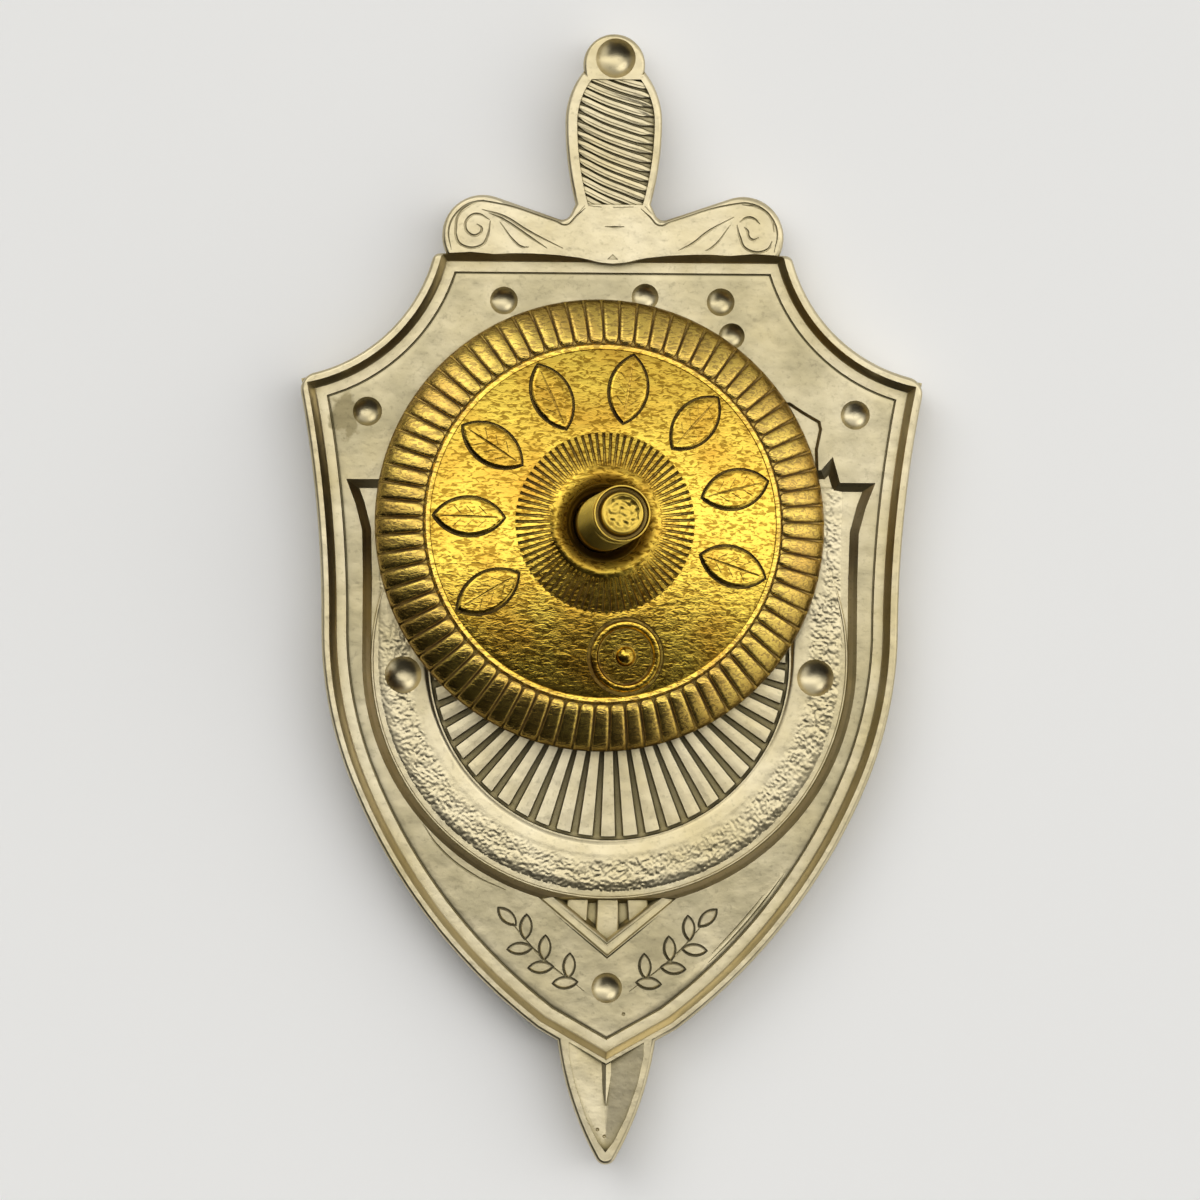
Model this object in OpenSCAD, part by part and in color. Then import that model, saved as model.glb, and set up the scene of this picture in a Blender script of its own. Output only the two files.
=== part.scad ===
// Commemorative badge, lying face down: a struck sheet in the form of a sword behind a shield,
// with a soldered threaded post and a knurled screw nut on its back.
// X is to the right and Y towards the pommel, both seen on the back. Z = 0 is the floor.

/* [Shield] */
// Whole height of the badge, pommel to blade tip
badge_h = 50; // [49:0.1:51]
// Greatest width, across the upper side corners
badge_w = 27.5; // [27:0.1:28]
// Half width of the shield at its waist
waist_x = 12.75; // [12.6:0.05:12.9]
// Height of the waist
waist_y = -1.3; // [-1.6:0.1:-1]
// Radius of the hollow sides above the waist
side_r = 55; // [50:1:60]
// Radius of the round flanks below the waist
flank_r = 18; // [17:0.5:19]
// Angle that the flanks turn through before the keel starts
flank_turn = 22; // [20:1:24]
// Radius of the keel, from the flanks down to the blade
keel_r = 26; // [25:0.5:27]
// Angle below the horizontal where the keel ends
keel_end = 52.7; // [52:0.1:53.5]
// Height of the shield's point, which lies behind the blade
point_y = -20.75; // [-21:0.05:-20.5]
// Height of the shield's top edge
top_y = 15.25; // [15.1:0.05:15.4]
// Radius of the scooped upper corners
scoop_r = 7.25; // [7.1:0.05:7.4]
// Sideways place of the scoops' centres
scoop_x = 14.95; // [14.8:0.05:15.1]
// Height of the scoops' centres
scoop_y = 16.95; // [16.8:0.05:17.1]

/* [Sword] */
// Radius of the pommel
pommel_r = 1.37; // [1.3:0.01:1.45]
// Half width of the grip at its thickest
grip_x = 2.14; // [2.05:0.01:2.2]
// Height of the grip's thickest place
grip_y = 21.1; // [20.8:0.1:21.4]
// Radius of the grip's side above that place
grip_top_r = 3.6; // [3.4:0.1:3.8]
// Radius of the grip's side below that place
grip_low_r = 14; // [13:0.5:15]
// Radius of the scrolls at the guard's ends
scroll_r = 1.85; // [1.75:0.05:1.9]
// Sideways place of the scrolls
scroll_x = 5.75; // [5.6:0.05:5.85]
// Height of the scrolls
scroll_y = 16.05; // [16:0.05:16.15]
// Radius of the blade's curved edges
blade_r = 14.9; // [14.7:0.1:15.1]
// Half width of the blade where it leaves the shield
blade_x = 2.12; // [2.05:0.01:2.2]
// Height where the blade leaves the shield
blade_y = -19.8; // [-19.9:0.05:-19.7]

/* [Sheet] */
// Thickness of the struck sheet
sheet_t = 1.0; // [0.9:0.05:1.1]
// Thickness that is left under the rayed floor
ray_t = 0.8; // [0.7:0.05:0.9]
// Width of the raised lip round the back of the shield
lip_w = 0.38; // [0.3:0.02:0.5]
// Depth of the shield's field below the lip
field_depth = 0.75; // [0.7:0.05:0.8]
// Depth of the ring below the lip
ring_depth = 1.15; // [1.1:0.05:1.2]
// Depth of the rayed floor below the lip
ray_depth = 1.45; // [1.4:0.05:1.5]
// Height of the ring's centre
ring_y = -2.7; // [-2.8:0.05:-2.6]
// Outer radius of the ring
ring_r = 10.7; // [10.6:0.05:10.8]
// Inner radius of the ring, which is the rayed floor's radius
ray_r = 8; // [7.9:0.05:8.1]
// Height of the ledge above the ring
ledge_y = 5.2; // [5.1:0.05:5.3]
// Half width of that ledge
ledge_x = 11.6; // [11.5:0.05:11.7]
// Depth of the grip's wound bed below the lip
grip_depth = 0.25; // [0.2:0.05:0.3]
// Depth of the round dimples
dimple_depth = 0.3; // [0.25:0.05:0.35]

/* [Post] */
// Angle that the post leans from upright
lean = 8.3; // [0:0.1:8.5]
// Direction of the lean, from X towards Y
lean_dir = 26; // [10:1:40]
// Sideways place of the post on the rayed floor
post_x = -0.785; // [-0.9:0.005:-0.7]
// Height of the post on the rayed floor
post_y = 3.115; // [3:0.005:3.2]
// Radius of the post, which is the thread's outer radius
post_r = 1.25; // [1.24:0.01:1.26]
// Length of the post above the rayed floor
post_l = 10; // [9:0.1:11]
// Radius of the solder foot round the post
foot_r = 1.9; // [1.7:0.1:1.9]

/* [Nut] */
// Outer radius of the nut
nut_r = 10; // [9.8:0.1:10]
// Distance of the nut's rim along the post from the rayed floor
nut_seat = 2.45; // [2.45:0.05:2.8]
// Thickness of the nut's sheet
nut_t = 0.5; // [0.4:0.05:0.6]
// Height of the nut's crown above its rim
crown_h = 2.15; // [2.1:0.01:2.2]
// Outer radius of the threaded hub
hub_r = 1.95; // [1.9:0.01:2]
// Gap between the hub's bore and the post
bore_gap = 0.05; // [0.03:0.01:0.08]
// Gap between the hub and the disc round it
hub_gap = 0.05; // [0.03:0.01:0.08]

/* [Hidden] */
$fn = 96;
nickel_silver = [0.80, 0.77, 0.66];
brass = [0.80, 0.62, 0.22];
// levels of the back, then of the front
back_z = ray_depth + ray_t;
field_z = back_z - field_depth;
ring_z = back_z - ring_depth;
ray_z = back_z - ray_depth;
border_front = back_z - sheet_t;
field_front = field_z - sheet_t;
ring_front = ring_z - sheet_t;
// a cut runs this far past the back, and stacked layers share this much
past = 1;
weld = 0.05;
// how far the front's steps stand outside the back's
step_out = 0.3;
pan_inset = 0.1;
// the recess stops under the guard, which dips into it in a round lobe
recess_top = 15.1;
lobe_r = 2.8;
lobe_bottom = 14.85;
// the window between the ring and the point
window_top = -13.2;
window_x = 2.3;
window_bottom = -15.05;
// where the thread's free end starts, just inside the top of the hub
groove_w = 0.6;
groove_depth = 0.22;
groove_in = 0.65;
tip_chamfer = 0.22;
foot_h = 0.4;
foot_edge = 0.12;
post_sunk = 0.35;
// dimples as [x, y, radius, level of the floor]
dimples = [
  [0.03, badge_h / 2 - pommel_r + 0.25, 0.8, back_z],
  [-4.8, 13.2, 0.53, field_z],
  [4.8, 13.2, 0.53, field_z],
  [-10.8, 8.25, 0.55, field_z],
  [10.8, 8.25, 0.55, field_z],
  [0, -17.2, 0.58, field_z],
  [-9.13, -3.4, 0.8, ring_z],
  [9.13, -3.4, 0.8, ring_z]
];

// points along a round stretch
function arc(c, r, a0, a1, n) =
  [for (i = [0:n]) let (a = a0 + (a1 - a0) * i / n) [c[0] + r * cos(a), c[1] + r * sin(a)]];
// the right half of an outline, from top to bottom point, and its mirror image
function both(half) = concat(half, [for (i = [len(half) - 2:-1:0]) [-half[i][0], half[i][1]]]);
// where the keel's centre lies, so that it runs on smoothly from the flank
function keel_c() = [
  waist_x - flank_r + (flank_r - keel_r) * cos(flank_turn),
  waist_y - (flank_r - keel_r) * sin(flank_turn)
];
function keel_foot() = keel_c() + keel_r * [cos(keel_end), -sin(keel_end)];
function point_slope() = atan((keel_foot()[1] - point_y) / keel_foot()[0]);
// the shield's right side drawn in by d
function flank(d) = concat(
  arc([waist_x + side_r, waist_y], side_r + d, 180 - 18, 180, 9),
  [for (i = [1:8]) arc([waist_x - flank_r, waist_y], flank_r - d, 0, -flank_turn, 8)[i]],
  [for (i = [1:12]) arc(keel_c(), keel_r - d, -flank_turn, -keel_end, 12)[i]],
  [[0, point_y + d / cos(point_slope())]]
);
function grip_side(d, top, bottom) = concat(
  arc([grip_x - grip_top_r, grip_y], grip_top_r - d, asin((top - grip_y) / (grip_top_r - d)), 0, 8),
  [for (i = [1:8]) arc([grip_x - grip_low_r, grip_y], grip_low_r - d,
    0, -asin((grip_y - bottom) / (grip_low_r - d)), 8)[i]]
);

// a flat layer from one height to another
module layer(z0, z1) {
  translate([0, 0, z0]) linear_extrude(z1 - z0) children();
}

module shield(d, top) {
  intersection() {
    difference() {
      polygon(both(flank(d)));
      for (side = [-1, 1]) translate([side * scoop_x, scoop_y]) circle(r = scoop_r + d);
    }
    translate([d - badge_w / 2, -badge_h / 2]) square([badge_w - 2 * d, badge_h / 2 + top]);
  }
}

module guard() {
  slope = 109;
  tangent = [scroll_x + scroll_r * cos(slope), scroll_y + scroll_r * sin(slope)];
  polygon([
    [-tangent[0], tangent[1]], [-2.15, 16.82], [-1.62, 17.4], [1.62, 17.4], [2.15, 16.82],
    tangent, [scroll_x, scroll_y], [scroll_x, 15], [-scroll_x, 15], [-scroll_x, scroll_y]
  ]);
  for (side = [-1, 1]) translate([side * scroll_x, scroll_y]) circle(r = scroll_r);
}

module blade() {
  centre_y = blade_y + 2.3;
  centre_x = sqrt(blade_r * blade_r - (centre_y - blade_y) * (centre_y - blade_y)) - blade_x;
  intersection() {
    translate([-centre_x, centre_y]) circle(r = blade_r);
    translate([centre_x, centre_y]) circle(r = blade_r);
    translate([-blade_x, -badge_h / 2]) square([2 * blade_x, badge_h / 2 - 18.8]);
  }
}

module sword() {
  translate([0, badge_h / 2 - pommel_r]) circle(r = pommel_r);
  polygon(both(concat(grip_side(0, 23.35, 17), [[0, 17]])));
  guard();
  blade();
}

module recess() {
  difference() {
    shield(lip_w, recess_top);
    translate([0, lobe_bottom + lobe_r]) circle(r = lobe_r);
  }
}

// the ring's outer form: a disc below a block that ends at the ledge
module ring_panel(out) {
  translate([0, ring_y]) circle(r = ring_r + out);
  polygon([
    [-ledge_x - out, ledge_y + out], [ledge_x + out, ledge_y + out], [10.85 + out, 3.4],
    [ring_r + out, ring_y], [-ring_r - out, ring_y], [-10.85 - out, 3.4]
  ]);
}

module window() {
  polygon([[-window_x, window_top], [window_x, window_top], [0, window_bottom]]);
}

// a ball that shows as a round cap of the given radius and height
module cap_ball(r, h) {
  ball_r = (r * r + h * h) / (2 * h);
  translate([0, 0, ball_r - h]) sphere(r = ball_r);
}

module back_cuts() {
  layer(field_z, back_z + past) recess();
  layer(ring_z, back_z + past) ring_panel(0);
  layer(ray_z, back_z + past) translate([0, ring_y]) circle(r = ray_r);
  layer(ray_z, back_z + past) window();
  layer(back_z - grip_depth, back_z + past) polygon(both(concat(grip_side(0.42, 23, 17.45), [[0, 17.45]])));
  for (p = dimples) translate([p[0], p[1], p[3]]) cap_ball(p[2], dimple_depth);
}

module front_relief() {
  layer(field_front, border_front + weld) shield(pan_inset, top_y - pan_inset);
  layer(ring_front, field_front + weld) ring_panel(step_out);
  layer(0, ring_front + weld) translate([0, ring_y]) circle(r = ray_r + step_out);
}

module on_post(along) {
  translate([post_x, post_y, ray_z]) rotate([0, lean, lean_dir]) translate([0, 0, along]) children();
}

// turned in one piece: a solder foot, the shank, a groove inside the hub and the free end
module post() {
  groove = nut_seat + crown_h - groove_in;
  groove_r = post_r - groove_depth;
  on_post(0) rotate_extrude() polygon([
    [0, -post_sunk], [foot_r, -post_sunk], [foot_r, foot_edge], [post_r + foot_edge, foot_h],
    [post_r, foot_h], [post_r, groove], [groove_r, groove], [groove_r, groove + groove_w],
    [post_r, groove + groove_w], [post_r, post_l - tip_chamfer], [post_r - tip_chamfer, post_l],
    [0, post_l]
  ]);
}

module struck_plate() {
  color(nickel_silver) union() {
    difference() {
      union() {
        layer(border_front, back_z) {
          shield(0, top_y);
          sword();
        }
        front_relief();
      }
      back_cuts();
    }
    post();
  }
}

module nut_hub() {
  bore_r = post_r + bore_gap;
  color(brass) on_post(nut_seat) rotate_extrude() polygon([
    [bore_r, 0.2], [hub_r - 0.05, 0.15], [hub_r, 0.2], [hub_r, crown_h - 0.07],
    [hub_r - 0.06, crown_h], [bore_r + 0.05, crown_h - 0.25], [bore_r, crown_h - 0.3]
  ]);
}

module nut_disc() {
  hole_r = hub_r + hub_gap;
  color(brass) on_post(nut_seat) rotate_extrude() polygon([
    [hole_r, crown_h - 0.04], [hole_r + 0.12, crown_h], [3.95, crown_h - 0.4], [7.72, crown_h - 0.97],
    [7.95, crown_h - 0.85], [nut_r - 0.3, 0.42], [nut_r - 0.2, 0.42], [nut_r, 0.3], [nut_r, 0.05],
    [nut_r - 0.05, 0], [nut_r - 0.5, 0], [7.95, 0.72], [3.95, crown_h - 0.4 - nut_t],
    [hole_r, crown_h - 0.04 - nut_t]
  ]);
}

struck_plate();
nut_hub();
nut_disc();
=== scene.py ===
"""A commemorative badge lying face down, with its threaded post and its screw nut.

A piece is made in millimetres, and finish_piece() turns it to metres.
X is to the right and Y towards the pommel, as the back is seen. Z = 0 is the floor.
"""

import math

import bmesh
import bpy
from mathutils import Matrix, Vector, noise


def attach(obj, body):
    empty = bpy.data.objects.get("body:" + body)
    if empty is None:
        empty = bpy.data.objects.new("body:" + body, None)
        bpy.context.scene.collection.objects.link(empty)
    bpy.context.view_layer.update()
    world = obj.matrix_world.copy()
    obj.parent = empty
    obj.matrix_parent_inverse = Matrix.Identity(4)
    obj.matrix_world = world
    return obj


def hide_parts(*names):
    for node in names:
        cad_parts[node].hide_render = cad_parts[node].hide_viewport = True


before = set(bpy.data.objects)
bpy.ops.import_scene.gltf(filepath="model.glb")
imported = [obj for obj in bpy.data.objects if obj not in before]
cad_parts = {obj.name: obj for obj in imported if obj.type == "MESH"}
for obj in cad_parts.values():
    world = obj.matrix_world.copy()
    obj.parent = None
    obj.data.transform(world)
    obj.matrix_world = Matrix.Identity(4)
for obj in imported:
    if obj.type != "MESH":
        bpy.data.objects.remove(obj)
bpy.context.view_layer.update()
scene = bpy.context.scene
noise.seed_set(1)  # noise_vector would otherwise change from run to run

MM = 0.001
SAG = 0.003  # how far the steps of an arc stray from the true curve
MERGE, FINE_MERGE = 0.001, 0.0005  # points nearer than this become one
FULL_TURN = 2 * math.pi
ROUND_Z = {"cent": (0, 0, 0), "axis": (0, 0, 1)}  # a spin round the Z axis
SHARP = math.radians(32)  # an edge that bends more than this stays sharp

# Levels of the back, then of the front
BACK, FIELD, RING, RAYS = 2.25, 1.5, 1.1, 0.8
BORDER_FRONT, FIELD_FRONT, RING_FRONT = 1.25, 0.5, 0.1

# The shield's outline: centres of its arcs, on the right side
SCOOP = (14.95, 16.95)
SIDE = (67.75, -1.3)
FLANK = (-5.25, -1.3)
KEEL = (-12.667, 1.697)
SCOOP_R, SIDE_R, FLANK_R, KEEL_R = 7.25, 55, 18, 26
TOP_Y, POINT_Y, POINT_SLOPE = 15.25, -20.75, math.radians(29.7)
RING_CENTRE = (0, -2.7)
GROUND = 0.65  # the dark ground between the rays

# The sword: centres of its arcs, on the right side
POMMEL, POMMEL_R = (0, 23.63), 1.37
GRIP_TOP, GRIP_TOP_R = (-1.46, 21.1), 3.6
GRIP, GRIP_R = (-11.86, 21.1), 14
SCROLL, SCROLL_R = (5.75, 16.05), 1.8
VALLEY, VALLEY_R = (2.25, 17.2), 0.42
BLADE, BLADE_R = (-12.601, -17.5), 14.9
BLADE_TIP, BLADE_TIP_R = (0, -24.511), 0.48

# The post, and the nut's seat along it
POST_FOOT = (-0.785, 3.115, RAYS)
LEAN, LEAN_DIR = math.radians(8.3), math.radians(26)
POST_LENGTH, POST_R, PITCH = 10, 1.25, 0.45
NUT_SEAT = 2.45
PADS = 77


# Drawing and forming

def on_arc(centre, radius, angle):
    """The point of a circle at an angle in degrees."""
    turn = math.radians(angle)
    return (centre[0] + radius * math.cos(turn), centre[1] + radius * math.sin(turn))


def heading(start, end):
    """The angle in degrees from one point towards another."""
    return math.degrees(math.atan2(end[1] - start[1], end[0] - start[0]))


def crossing(first, first_r, second, second_r, side):
    """Where two circles cross: left (1) or right (-1) of the line from the first centre to the second."""
    gap = math.dist(first, second)
    along = (gap**2 + first_r**2 - second_r**2) / (2 * gap)
    off = side * math.sqrt(first_r**2 - along**2)
    run, rise = (second[0] - first[0]) / gap, (second[1] - first[1]) / gap
    return (first[0] + along * run - off * rise, first[1] + along * rise + off * run)


def wired(strokes, closed=False, bm=None, z=0, arc_steps=None):
    """Edges through corners (x, y) and arcs (centre, radius, start angle, end angle)."""
    bm = bm or bmesh.new()
    first = last = None
    for stroke in strokes:
        if len(stroke) == 2:
            start = end = bmesh.ops.create_vert(bm, co=(*stroke, z))["vert"][0]
        else:
            centre, radius, begin, finish = stroke
            turn = math.radians(finish - begin)
            steps = arc_steps or max(2, math.ceil(abs(turn) / (2 * math.acos(1 - SAG / radius))))
            start = bmesh.ops.create_vert(bm, co=(*on_arc(centre, radius, begin), z))["vert"][0]
            end = bmesh.ops.spin(
                bm, geom=[start], cent=(*centre, z), axis=(0, 0, 1), angle=turn, steps=steps
            )["geom_last"][0]
        if last is not None:
            bm.edges.new((last, start))
        first, last = first or start, end
    if closed:
        bm.edges.new((last, first))
    bmesh.ops.remove_doubles(bm, verts=bm.verts[:], dist=MERGE)
    return bm


def drawn(strokes, mirrored=True):
    """A flat face inside an outline. A mirrored outline is drawn as its right half."""
    bm = wired(strokes, closed=not mirrored)
    if mirrored:
        bmesh.ops.mirror(bm, geom=bm.verts[:] + bm.edges[:], axis="X", merge_dist=MERGE)
    return bm, bmesh.ops.contextual_create(bm, geom=bm.edges[:])["faces"][0]


def extruded(bm, faces, kind):
    """Extrudes faces in place, and gives the new parts of one kind."""
    grown = bmesh.ops.extrude_face_region(bm, geom=faces)["geom"]
    return [part for part in grown if isinstance(part, kind)]


def upright(bm):
    """Stands a flat drawing up, so that its y is its height."""
    bmesh.ops.rotate(bm, verts=bm.verts[:], cent=(0, 0, 0), matrix=Matrix.Rotation(math.pi / 2, 3, "X"))
    return bm


def faced_out(bm):
    """Turns the faces of a closed shape outwards."""
    bmesh.ops.recalc_face_normals(bm, faces=bm.faces[:])
    return bm


def from_axis(vert):
    """How far a point is from the Z axis."""
    return math.hypot(vert.co.x, vert.co.y)


def block(strokes, low, high, mirrored=True, down=(), up=()):
    """A solid on an outline. Down and up are steps (inset, rise) of its lower and its upper face."""
    bm, lower = drawn(strokes, mirrored)
    bmesh.ops.translate(bm, verts=bm.verts[:], vec=(0, 0, low))
    upper = extruded(bm, [lower], bmesh.types.BMFace)[0]
    bmesh.ops.translate(bm, verts=upper.verts[:], vec=(0, 0, high - low))
    for face, steps in ((lower, down), (upper, up)):
        for inset, rise in steps:
            bmesh.ops.inset_region(bm, faces=[face], thickness=inset, use_even_offset=True)
            bmesh.ops.translate(bm, verts=face.verts[:], vec=(0, 0, rise))
    return faced_out(bm)


def halved(bm):
    """Splits the faces of a shape along its middle line."""
    bmesh.ops.bisect_plane(
        bm, geom=bm.verts[:] + bm.edges[:] + bm.faces[:], plane_co=(0, 0, 0), plane_no=(1, 0, 0)
    )
    return bm


def bar(half, stations):
    """A bar along Y, from the right half of its section and from stations (y, half width, drop).

    The section's points are (share of the half width, height).
    """
    bm, section = drawn(half)
    upright(bm)
    here, width, drop = 0, 1, 0
    for index, (y, next_width, next_drop) in enumerate(stations):
        if index:
            end = extruded(bm, [section], bmesh.types.BMFace)[0]
            if index > 1:
                bmesh.ops.delete(bm, geom=[section], context="FACES_ONLY")
            section = end
        bmesh.ops.scale(bm, verts=section.verts[:], vec=(next_width / width, 1, 1))
        bmesh.ops.translate(bm, verts=section.verts[:], vec=(0, y - here, drop - next_drop))
        here, width, drop = y, next_width, next_drop
    return faced_out(bm)


def lofted(levels):
    """A solid through mirrored outlines at several heights. Levels are (right half, height)."""
    bm = bmesh.new()
    below = None
    for storey, level in enumerate(levels):
        old_verts, old_edges = set(bm.verts), set(bm.edges)
        wired(level[0], bm=bm, z=storey, arc_steps=18)
        points = [vert for vert in bm.verts if vert not in old_verts]
        lines = [edge for edge in bm.edges if edge not in old_edges]
        bmesh.ops.mirror(bm, geom=points + lines, axis="X", merge_dist=MERGE)
        outline = [edge for edge in bm.edges if edge not in old_edges]
        if below is None:
            bmesh.ops.contextual_create(bm, geom=outline)
        else:
            bmesh.ops.bridge_loops(bm, edges=below + outline)
        below = outline
    bmesh.ops.contextual_create(bm, geom=below)
    for vert in bm.verts:
        vert.co.z = levels[round(vert.co.z)][1]
    return faced_out(bm)


def turned(profile, steps=96, hollow=False):
    """A lathe-turned solid: the profile's x is the radius and its y the height."""
    bm = upright(wired(profile, closed=hollow))
    bmesh.ops.spin(
        bm, geom=bm.verts[:] + bm.edges[:], angle=FULL_TURN, steps=steps, use_merge=True, **ROUND_Z
    )
    bmesh.ops.remove_doubles(bm, verts=bm.verts[:], dist=FINE_MERGE)
    return faced_out(bm)


def repeated(bm, count):
    """The same shape count times round Z."""
    bmesh.ops.spin(
        bm, geom=bm.verts[:] + bm.edges[:] + bm.faces[:], angle=FULL_TURN * (count - 1) / count,
        steps=count - 1, use_duplicate=True, **ROUND_Z,
    )
    return bm


def moved(bm, x=0, y=0, z=0, turn=0):
    """Turns a shape round Z by degrees, then moves it."""
    spin = Matrix.Rotation(math.radians(turn), 4, "Z")
    bmesh.ops.transform(bm, matrix=Matrix.Translation((x, y, z)) @ spin, verts=bm.verts[:])
    return bm


def piece_of(bm, name="tool"):
    """Turns a bmesh into an object."""
    mesh = bpy.data.meshes.new(name)
    bm.to_mesh(mesh)
    bm.free()
    made = bpy.data.objects.new(name, mesh)
    scene.collection.objects.link(made)
    return made


def wire_of(lines, radius, height, bent=True):
    """Round wires through points (x, y), thinner at their ends, as one shape."""
    curve = bpy.data.curves.new("wire", "CURVE")
    curve.dimensions = "3D"
    curve.bevel_depth = radius
    curve.bevel_resolution = 2
    curve.resolution_u = 6 if bent else 1
    curve.use_fill_caps = True
    for points in lines:
        spline = curve.splines.new("BEZIER")
        spline.bezier_points.add(len(points) - 1)
        for index, (knot, point) in enumerate(zip(spline.bezier_points, points)):
            knot.co = (*point, height)
            knot.handle_left_type = knot.handle_right_type = "AUTO" if bent else "VECTOR"
            knot.radius = 0.35 if index in (0, len(points) - 1) else 1
    wire = bpy.data.objects.new("wire", curve)
    scene.collection.objects.link(wire)
    bm = bmesh.new()
    bm.from_mesh(settled_mesh(wire))
    bmesh.ops.remove_doubles(bm, verts=bm.verts[:], dist=FINE_MERGE)
    bpy.data.objects.remove(wire)
    return bm


def between_knots(knots, place):
    """The value at a place on a line through (place, value) knots."""
    for (x0, y0), (x1, y1) in zip(knots, knots[1:]):
        if place <= x1:
            return y0 + (y1 - y0) * max(0, place - x0) / (x1 - x0)
    return knots[-1][1]


def settled_mesh(piece):
    """The mesh of a piece with its modifiers, or its curve's thickness, made real."""
    graph = bpy.context.evaluated_depsgraph_get()
    return bpy.data.meshes.new_from_object(piece.evaluated_get(graph))


def work(body, tools, operation="DIFFERENCE"):
    """Cuts tools out of a body, or joins them to it (UNION), or keeps what they share (INTERSECT).

    The body and the tools are pieces, or shapes that become pieces here.
    """
    body, *tools = [part if isinstance(part, bpy.types.Object) else piece_of(part) for part in (body, *tools)]
    for tool in tools:
        cut = body.modifiers.new("work", "BOOLEAN")
        cut.operation = operation
        cut.solver = "MANIFOLD"
        cut.object = tool
    mesh = settled_mesh(body)
    body.modifiers.clear()
    body.data = mesh
    for tool in tools:
        bpy.data.objects.remove(tool)
    return body


def slab(bm, floor):
    """Closes an open sheet of faces into a slab with a flat underside."""
    for vert in extruded(bm, bm.faces[:], bmesh.types.BMVert):
        vert.co.z = floor
    return faced_out(bm)


def on_post(along):
    """The place at a distance along the leaning post, turned as the badge is."""
    lean = Matrix.Rotation(LEAN_DIR, 4, "Z") @ Matrix.Rotation(LEAN, 4, "Y")
    unturned = Matrix.Rotation(-LEAN_DIR, 4, "Z")
    return Matrix.Translation(POST_FOOT) @ lean @ Matrix.Translation((0, 0, along)) @ unturned


def finish_piece(piece, name, body, material, place=None):
    """Puts a piece in its place in metres, names and shades it, and gives it its material and body."""
    piece.name = piece.data.name = name
    bm = bmesh.new()
    bm.from_mesh(piece.data)
    faced_out(bm)
    bm.to_mesh(piece.data)
    bm.free()
    piece.data.transform(Matrix.Scale(MM, 4) @ (place or Matrix.Identity(4)))
    piece.data.shade_smooth()
    piece.data.set_sharp_from_angle(angle=SHARP)
    even = piece.modifiers.new("even", "WEIGHTED_NORMAL")
    even.keep_sharp = True
    piece.data.materials.clear()
    piece.data.materials.append(material)
    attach(piece, body)
    return piece


# Materials

def srgb(code):
    """An sRGB hex colour as linear RGBA."""
    parts = [int(code[i:i + 2], 16) / 255 for i in (1, 3, 5)]
    return (*[p / 12.92 if p <= 0.04045 else ((p + 0.055) / 1.055) ** 2.4 for p in parts], 1)


def node(tree, kind, inputs=None, stops=None, **settings):
    """Adds a node. Inputs are values, or outputs to link; stops are a ramp's (place, colour)."""
    made = tree.nodes.new("ShaderNode" + kind)
    for name, value in settings.items():
        setattr(made, name, value)
    for name, value in (inputs or {}).items():
        if isinstance(value, bpy.types.NodeSocket):
            tree.links.new(value, made.inputs[name])
        else:
            made.inputs[name].default_value = value
    for index, (place, colour) in enumerate(stops or ()):
        ramp = made.color_ramp.elements
        stop = ramp[index] if index < 2 else ramp.new(place)
        stop.position = place
        stop.color = colour if isinstance(colour, tuple) else (colour, colour, colour, 1)
    return made


def per_mm(size):
    """The scale of a pattern whose cells are size millimetres, in metre coordinates."""
    return 1 / (size * MM)


def new_material(name):
    """An empty node material and its tree."""
    material = bpy.data.materials.new(name)
    material.use_nodes = True
    tree = material.node_tree
    tree.nodes.clear()
    return material, tree


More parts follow.
